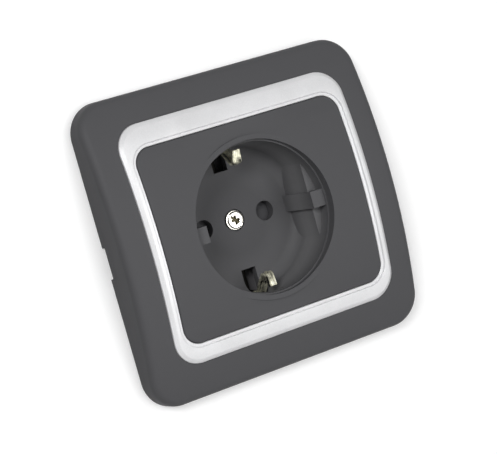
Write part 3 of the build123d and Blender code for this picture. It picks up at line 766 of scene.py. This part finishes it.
# %% The rows of the section
def ring_section(tree, size):
    outer = [times(tree, size[side], 0.5) for side in ("Width", "Height")]
    lip = [times(tree, size["Window " + side], 0.5) for side in ("Width", "Height")]
    step = [plus(tree, side, size["Lip"]) for side in lip]
    loops = {
        "outer": point_at(tree, *outer, size["Corner"]),
        "step": point_at(tree, *step, plus(tree, size["Window Corner"], size["Lip"])),
        "lip": point_at(tree, *lip, size["Window Corner"]),
    }
    top, lip_top, small = size["Top Level"], size["Lip Level"], size["Edge Round"]
    shoulder = minus(tree, top, size["Bevel Depth"])
    in_share = 0.7
    up_share = 0.3
    slope_share = 0.6
    outset = times(tree, small, -1.0)
    rows = [
        ("outer", 0.0, size["Seat Level"]),
        ("outer", 0.0, minus(tree, shoulder, small)),
        ("outer", times(tree, small, in_share), work_out(tree, "MULTIPLY_ADD", small, up_share, shoulder)),
        ("outer", minus(tree, size["Bevel"], small), minus(tree, top, times(tree, small, slope_share))),
        ("outer", plus(tree, size["Bevel"], small), top),
        ("step", outset, top),
        ("step", 0.0, minus(tree, top, small)),
        ("step", 0.0, lip_top),
        ("lip", outset, lip_top),
        ("lip", 0.0, minus(tree, lip_top, small)),
        ("lip", 0.0, size["Seat Level"]),
    ]
    lift = {"outer": size["Lift"], "step": 0.0, "lip": 0.0}
    heights = [point_at(tree, inset, level, lift[loop]) for loop, inset, level in rows]
    return section_from_rows(tree, {"spread": [loops[row[0]] for row in rows], "height": heights})


# %% [markdown]
# ## The trim ring: the bow of its front
# Frame, ring and plate share one bowed front, part of a large cylinder that lies across the socket.
# Bending a flat ring with a deform tool would be another way. Here each point's level is taken as a
# distance along the radius of that cylinder, so the ring follows the bow exactly.

# %% Place every point of the ring
def bowed(tree, size, swept):
    corner, outward, spread, height = (
        axes_of(tree, read_note(tree, label)) for label in ("corner", "outward", "spread", "height")
    )
    reach = minus(tree, spread[2], height[0])

    def place(axis, side):
        straight = times(tree, corner[axis], minus(tree, side, spread[2]))
        return work_out(tree, "MULTIPLY_ADD", outward[axis], reach, straight)

    x = place(0, spread[0])
    z = plus(tree, place(2, spread[1]), height[2])
    middle = minus(tree, size["Bow Radius"], size["Bow Crown"])
    bow = plus(tree, middle, height[1])
    rise = work_out(tree, "SQRT", minus(tree, times(tree, bow, bow), times(tree, z, z)))
    return put_at(tree, swept, point_at(tree, x, minus(tree, middle, rise), z))


# %% [markdown]
# ## The trim ring: pegs, and the whole
# Four pegs on the back lock the ring into the frame. They are one cylinder on the points of a grid
# of two by two. The finished ring stands for the solid one, and the two boxes printed below show
# that it has the same size.

# %% The ring's tree
def ring_pegs(tree, size):
    inputs = {"Size X": size["Peg Spread"], "Size Y": size["Peg Rise"], "Vertices X": 2, "Vertices Y": 2}
    grid = add_node(tree, "GeometryNodeMeshGrid", inputs).outputs[0]
    inputs = {"Vertices": 24, "Radius": size["Peg Radius"], "Depth": size["Peg Length"]}
    peg = add_node(tree, "GeometryNodeMeshCylinder", inputs).outputs[0]
    middle = point_at(tree, y=size["Peg Level"], z=size["Peg Middle"])
    return move(tree, repeat(tree, grid, peg), middle, (pi / 2, 0, 0))


def build_ring_tree():
    tree, size = start_shape(
        "trim_ring_tree",
        {
            "Width": 67.2 * MM,
            "Height": 62.8 * MM,
            "Corner": 7.0 * MM,
            "Lift": 0.7 * MM,
            "Window Width": 61.3 * MM,
            "Window Height": 51.5 * MM,
            "Window Corner": 4.75 * MM,
            "Lip": 0.9 * MM,
            "Bevel": 1.1 * MM,
            "Bevel Depth": 0.8 * MM,
            "Seat Level": 9.93 * MM,
            "Lip Level": 11.5 * MM,
            "Top Level": 12.1 * MM,
            "Edge Round": 0.14 * MM,
            "Bow Radius": 130.0 * MM,
            "Bow Crown": 10.9 * MM,
            "Peg Radius": 1.2 * MM,
            "Peg Length": 2.7 * MM,
            "Peg Spread": 38.0 * MM,
            "Peg Rise": 58.7 * MM,
            "Peg Middle": 0.45 * MM,
            "Peg Level": -5.55 * MM,
        },
    )
    path = rounded_path(tree, corner_steps=14, side_steps=22)
    swept = sweep(tree, path, ring_section(tree, size))
    return end_shape(tree, size, ring_pegs(tree, size), bowed(tree, size, swept))


ring = run_tree(build_ring_tree(), "silver_trim_ring", "socket", "silver_lacquer", sharp=18.0)
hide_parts("trim_ring")
points = [v.co for v in ring.data.vertices]
node_box = [[pick(p[axis] for p in points) for axis in range(3)] for pick in (min, max)]
for label, box in (("solid ring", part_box("trim_ring")), ("node ring", node_box)):
    print(label, [[round(value / MM, 2) for value in corner] for corner in box])

# %% [markdown]
# ## Screw threads
# A real screw has a helical ridge; the solids have plain shanks at the crest size. Modelling the
# ridge by hand would mean placing thousands of points that one rule gives. So a tree sweeps a small
# diamond along a coil, and its inner corner sinks into the core of the screw.

# %% The thread's tree
def build_thread_tree():
    tree, size = start_shape(
        "thread_tree",
        {
            "Crest": 1.2 * MM,
            "Depth": 0.22 * MM,
            "Pitch": 0.5 * MM,
            "Turns": 40.0,
            "Centre X": 0.0,
            "Start Y": 0.0,
        },
    )
    ridge_share = 0.66
    ridge = times(tree, size["Depth"], ridge_share)
    length = times(tree, size["Pitch"], size["Turns"])
    path = coil(tree, minus(tree, size["Crest"], ridge), size["Turns"], length, steps=20)
    steady = add_node(tree, "GeometryNodeSetCurveNormal", {"Curve": path}, mode="Z_UP").outputs[0]
    swept = sweep(tree, steady, circle(tree, ridge, points=4), caps=True)
    start = point_at(tree, size["Centre X"], size["Start Y"])
    return end_shape(tree, size, move(tree, swept, start, (-pi / 2, 0, 0)))


thread_tree = build_thread_tree()

# %% [markdown]
# ## Three screws with threads
# The long centre screw and the two claw screws get smooth skins. Their plain shanks are thinned to
# the core, so that the thread stands proud of it, and the thread is wound on from its start to its
# stop. All sizes of a cut are in millimetres.

# %% Thin the shanks and wind the threads
long_cut = {"crest": 1.45, "depth": 0.26, "pitch": 0.7, "head": 7.0, "start": 8.2, "stop": 18.2}
claw_cut = {"crest": 1.2, "depth": 0.22, "pitch": 0.5, "head": -1.6, "start": 1.2, "stop": 26.0}
screws = {
    "centre_screw": (0.0, long_cut, "screw_nickel"),
    "left_claw_screw": (-25.9, claw_cut, "zinc_steel"),
    "right_claw_screw": (25.9, claw_cut, "zinc_steel"),
}
on_crest = 0.01 * MM


def thin_shank(piece, centre_x, cut):
    crest, core = cut["crest"] * MM, (cut["crest"] - cut["depth"]) * MM
    moved = 0
    for vertex in piece.data.vertices:
        away = Vector((vertex.co.x - centre_x, 0, vertex.co.z))
        if vertex.co.y > cut["head"] * MM and abs(away.length - crest) < on_crest:
            away *= core / crest
            vertex.co.x, vertex.co.z = centre_x + away.x, away.z
            moved += 1
    print(piece.name, "has", moved, "points moved to the core")


for node, (x, cut, finish) in screws.items():
    thin_shank(smooth_skin(node, node + "_skin", finish), x * MM, cut)
    sizes = {
        "Crest": cut["crest"] * MM,
        "Depth": cut["depth"] * MM,
        "Pitch": cut["pitch"] * MM,
        "Turns": (cut["stop"] - cut["start"]) / cut["pitch"],
        "Centre X": x * MM,
        "Start Y": cut["start"] * MM,
    }
    body = frame["nodes"][node]["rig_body"]
    run_tree(thread_tree, node + "_thread", body, slot_of[node], sizes, sharp=50.0)

# %% [markdown]
# ## Tubular rivets
# Four hollow rivets join the bracket to the insert. A hollow rivet is one section turned about its
# axis, and the four are the same, so the tree turns the section once and puts it on the four points
# of a circle. They stand for the plain solids of the four rivets. A row of the section is a radius
# and a depth in millimetres: first the rolled head, then the shank, then the flared end.

# %% The rivets' tree
def build_rivet_tree(rows):
    tree, size = start_shape("rivet_tree", {"Reach": 26.95 * MM, "Count": 4, "Segments": 32})
    section = section_from_rows(tree, {"height": [(radius * MM, y * MM, 0) for radius, y in rows]})
    index = add_node(tree, "GeometryNodeInputIndex").outputs[0]
    angle = work_out(tree, "DIVIDE", times(tree, index, 2 * pi), size["Segments"])
    path = circle(tree, any_radius, size["Segments"])
    turned = sweep(tree, write_note(tree, path, "outward", direction(tree, angle)), section)
    outward, height = (axes_of(tree, read_note(tree, label)) for label in ("outward", "height"))
    across, up = times(tree, outward[0], height[0]), times(tree, outward[2], height[0])
    rivet = put_at(tree, turned, point_at(tree, across, height[1], up))
    inputs = {"Vertices": size["Count"], "Radius": size["Reach"]}
    places = add_node(tree, "GeometryNodeMeshCircle", inputs, fill_type="NONE").outputs[0]
    upright = move(tree, places, turn=(pi / 2, pi / 4, 0))
    return end_shape(tree, size, repeat(tree, upright, rivet))


rivet_rows = [
    (0.75, -1.35),
    (0.95, -1.68),
    (1.40, -1.80),
    (2.00, -1.66),
    (2.28, -1.30),
    (2.28, -1.02),
    (1.40, -1.00),
    (1.40, 5.00),
    (2.05, 5.00),
    (2.18, 5.20),
    (2.05, 5.48),
    (1.50, 5.60),
    (0.95, 5.48),
    (0.75, 5.20),
]
rivets = run_tree(build_rivet_tree(rivet_rows), "tubular_rivets", "socket", "brass")
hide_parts("upper_right_rivet", "upper_left_rivet", "lower_left_rivet", "lower_right_rivet")

# %% [markdown]
# ## The earth strap without its ends
# The earth strap ends in two spring clips that arch into the cup. On the real one the strip's edges
# are rolled and a rib is pressed along its middle, and these catch the light. Cutting a rib into the
# solid's ends would be hard, so they are cut off a copy of the strap and made anew below.

# %% Cut the plain ends off a copy of the strap
strap = smooth_skin("earth_strap", "earth_strap_back", finish="strap_nickel")
clip_start_y = 6.4 * MM
form = bmesh.new()
form.from_mesh(strap.data)
cut = bmesh.ops.bisect_plane(
    form,
    geom=form.verts[:] + form.edges[:] + form.faces[:],
    plane_co=(0, clip_start_y, 0),
    plane_no=(0, -1, 0),
    clear_outer=True,
)
bmesh.ops.holes_fill(form, edges=[item for item in cut["geom_cut"] if isinstance(item, bmesh.types.BMEdge)])
form.to_mesh(strap.data)
form.free()
print("the strap keeps", len(strap.data.polygons), "faces")

# %% [markdown]
# ## The earth clips
# A clip is a strip with one section all along, so a tree sweeps that section along its bends. Four
# points give the route, seen from the side, and each bend is rounded. Towards its tip the strip gets
# narrower. The second clip is the first one turned to the other side of the cup. Points and rows are
# in millimetres, and the section's left half mirrors its right half.

# %% The clips' tree
def build_clip_tree(points, rows):
    tree, size = start_shape(
        "earth_clip_tree", {"Bend": 1.0 * MM, "Bend Steps": 9, "Taper Start": 0.6, "Tip Width": 0.72}
    )
    line = section_from_rows(tree, {"height": [(0, y * MM, z * MM) for y, z in points]}, closed=False)
    line = put_at(tree, line, read_note(tree, "height"))
    inputs = {"Curve": line, "Radius": size["Bend"], "Count": size["Bend Steps"]}
    bent = add_node(tree, "GeometryNodeFilletCurve", inputs, mode="POLY").outputs[0]
    steady = add_node(tree, "GeometryNodeSetCurveNormal", {"Curve": bent}, mode="MINIMUM_TWIST").outputs[0]
    along = add_node(tree, "GeometryNodeSplineParameter").outputs["Factor"]
    inputs = {"Value": along, "From Min": size["Taper Start"], "To Min": 1.0, "To Max": size["Tip Width"]}
    width = add_node(tree, "ShaderNodeMapRange", inputs).outputs[0]
    inputs = {"Curve": steady, "Radius": width}
    narrowed = add_node(tree, "GeometryNodeSetCurveRadius", inputs).outputs[0]
    section = section_from_rows(tree, {"spread": [(x * MM, y * MM, 0) for x, y in rows]})
    section = put_at(tree, section, read_note(tree, "spread"))
    radius = add_node(tree, "GeometryNodeInputRadius").outputs[0]
    upper = sweep(tree, narrowed, section, caps=True, scale=radius)
    return end_shape(tree, size, move(tree, upper, turn=(0, pi, 0)), upper)


clip_points = [(6.8, 20.2), (2.9, 20.2), (-3.6, 14.15), (-5.0, 18.4)]
back_half = [(1.50, -0.36), (1.62, -0.18)]
front_half = [(1.62, 0.18), (1.50, 0.36), (0.55, 0.36), (0.30, 0.58)]
right_half = back_half + front_half
clip_rows = right_half + [(-x, y) for x, y in reversed(right_half)]
clip_tree = build_clip_tree(clip_points, clip_rows)
run_tree(clip_tree, "earth_clips", "socket", "nickel", sharp=40.0, finish="clip_nickel")

# %% [markdown]
# ## The shutter's return spring
# A small coil spring holds the shutter closed, and it is squeezed when a plug pushes the shutter
# down. A coil that rides on one body would be cut through by the shutter. So a tree winds the wire
# along a spiral, and the finished coil is shared by both bodies: its foot stays with the socket and
# its head follows the shutter.

# %% Wind the spring
def build_spring_tree():
    tree, size = start_shape(
        "return_spring_tree",
        {
            "Coil": 0.92 * MM,
            "Wire": 0.16 * MM,
            "Turns": 6.0,
            "Length": 8.2 * MM,
            "Level": 9.6 * MM,
            "Foot": -11.8 * MM,
        },
    )
    path = coil(tree, size["Coil"], size["Turns"], size["Length"], steps=24)
    swept = sweep(tree, path, circle(tree, size["Wire"], points=10), caps=True)
    return end_shape(tree, size, move(tree, swept, point_at(tree, y=size["Level"], z=size["Foot"])))


spring = run_tree(build_spring_tree(), "return_spring_coil", None, "spring_steel")
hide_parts("shutter_spring")
low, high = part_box("shutter_spring")
end_coil = 1.0 * MM
foot = (0, low[1], low[2] - end_coil)
head = (0, low[1], high[2] + end_coil)
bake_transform(spring, "socket", "shutter_slider", start=foot, end=head)

# %% [markdown]
# ## Paint for the wall and the floor
# The backdrop has to look pure white and still show the soft shadow. A white sheet alone would throw
# its light back onto the frame's sides from below. So the paint asks what kind of ray meets it: to
# the camera and to shiny metal it is white and glows a little, and other rays meet a greyer sheet.
# The wall shows only from the front. From behind it is clear, and the works of the socket can be
# seen.

# %% Build a backdrop's paint
def build_backdrop(name, level, grey, glow, one_sided):
    material = bpy.data.materials.new(name)
    material.use_nodes = True
    tree = material.node_tree
    tree.nodes.clear()
    ray = add_node(tree, "ShaderNodeLightPath").outputs
    seen = work_out(tree, "MAXIMUM", ray["Is Camera Ray"], ray["Is Glossy Ray"])
    seen = work_out(tree, "MAXIMUM", seen, ray["Is Transmission Ray"])
    paint = add_node(tree, "ShaderNodeBsdfDiffuse", {"Color": (level, level, level, 1)})
    lift = add_node(tree, "ShaderNodeEmission", {"Color": (1, 1, 1, 1), "Strength": glow})
    bright = add_node(tree, "ShaderNodeAddShader", {0: paint.outputs[0], 1: lift.outputs[0]})
    dull = add_node(tree, "ShaderNodeBsdfDiffuse", {"Color": (grey, grey, grey, 1)})
    inputs = {0: seen, 1: dull.outputs[0], 2: bright.outputs[0]}
    result = add_node(tree, "ShaderNodeMixShader", inputs).outputs[0]
    if one_sided:
        behind = add_node(tree, "ShaderNodeNewGeometry").outputs["Backfacing"]
        clear = add_node(tree, "ShaderNodeBsdfTransparent").outputs[0]
        result = add_node(tree, "ShaderNodeMixShader", {0: behind, 1: result, 2: clear}).outputs[0]
    add_node(tree, "ShaderNodeOutputMaterial", {"Surface": result})
    return material


# %% [markdown]
# ## The wall and the floor
# The socket hangs on a white wall, so the wall is the backdrop, and a floor lies far below it. The
# wall has an opening where the wall box would be, because the cup and the works reach through it.

# %% Set up the wall and the floor
wall_y = 0.3 * MM
floor_z = -0.30
wall_side = 1.5
floor_side = 3.0
box_side = 33 * MM


def sheet(name, corners, material, hole=()):
    mesh = bpy.data.meshes.new(name)
    strips = [(n, (n + 1) % 4, 4 + (n + 1) % 4, 4 + n) for n in range(4)]
    mesh.from_pydata([*corners, *hole], [], strips if hole else [range(4)])
    mesh.materials.append(material)
    put_in_scene(name, mesh)
    print(name, "has", len(mesh.polygons), "faces")


def on_wall(side, bottom, top):
    return [(x, wall_y, z) for x, z in ((-side, bottom), (side, bottom), (side, top), (-side, top))]


wall_paint = build_backdrop("wall_paint", level=0.80, grey=0.15, glow=0.24, one_sided=True)
floor_paint = build_backdrop("floor_paint", level=0.80, grey=0.5, glow=0.70, one_sided=False)
box_opening = on_wall(box_side, -box_side, box_side)
sheet("white_wall", on_wall(wall_side, floor_z, wall_side), wall_paint, hole=box_opening)
ground = [(x * floor_side, y * floor_side, floor_z) for x, y in ((-1, -1), (1, -1), (1, 1), (-1, 1))]
sheet("pale_floor", ground, floor_paint)

# %% [markdown]
# ## Lamps
# One large lamp from the upper left adds the soft shadow that falls to the lower right, and a wide
# one in front keeps the cup from going black. A small lamp would give a hard shadow instead.

# %% Set the lamps
def area_lamp(name, place, size, power):
    data = bpy.data.lights.new(name, "AREA")
    data.size = size
    data.energy = power
    lamp = put_in_scene(name, data)
    lamp.location = place
    lamp.rotation_euler = (-Vector(place)).to_track_quat("-Z", "Y").to_euler()
    print(name, "stands", round(Vector(place).length, 2), "m from the socket")


area_lamp("key_lamp", (-0.60, -0.76, 0.36), size=0.30, power=5.2)
area_lamp("front_lamp", (0.30, -1.15, 0.00), size=0.60, power=5.4)

# %% [markdown]
# ## The room
# The room gives most of the light, so the dark plastic looks even. It is brighter above than below,
# as rooms are. A picture of a real room could light the scene too, but it would show in the metal,
# and the photograph has no such reflections. The camera sees the room as plain white.

# %% Set the room
room_level = 0.27
room_slope = 0.16
room = bpy.data.worlds.new("studio_room")
room.use_nodes = True
bpy.context.scene.world = room
room_tree = room.node_tree
way = axes_of(room_tree, add_node(room_tree, "ShaderNodeTexCoord").outputs["Generated"])
level = plus(room_tree, times(room_tree, way[2], room_slope), room_level)
seen = add_node(room_tree, "ShaderNodeLightPath").outputs["Is Camera Ray"]
strength = mix(room_tree, "FLOAT", seen, level, 1.0)
fill(room_tree, room_tree.nodes["Background"], {"Color": (1, 1, 1, 1), "Strength": strength})
print("the room gives", round(room_level - room_slope, 2), "below,", room_level + room_slope, "above")

# %% [markdown]
# ## Camera
# The place and the roll of the camera were found by matching the corners of the frame, the plate and
# the pin holes with the photograph. The picture is taken from the left and slightly above with a long
# lens, and the camera is rolled, so the socket leans to the left in the picture.

# %% Place the camera
eye = Vector((-0.22317, -0.42734, 0.03882))
right = Vector((0.8425, -0.4663, -0.2696)).normalized()
rough_up = Vector((0.2777, -0.0529, 0.9592))
back = right.cross(rough_up).normalized()
place = Matrix((right, back.cross(right), back)).transposed().to_4x4()
place.translation = eye
camera_data = bpy.data.cameras.new("photo_camera")
camera_data.sensor_fit = "HORIZONTAL"
camera_data.sensor_width = 36.0
camera_data.lens = 133.47
camera = put_in_scene("photo_camera", camera_data)
camera.matrix_world = place
bpy.context.scene.camera = camera
bpy.context.scene.view_settings.view_transform = "Standard"
print("the camera stands", round(eye.length / MM), "mm from the socket")
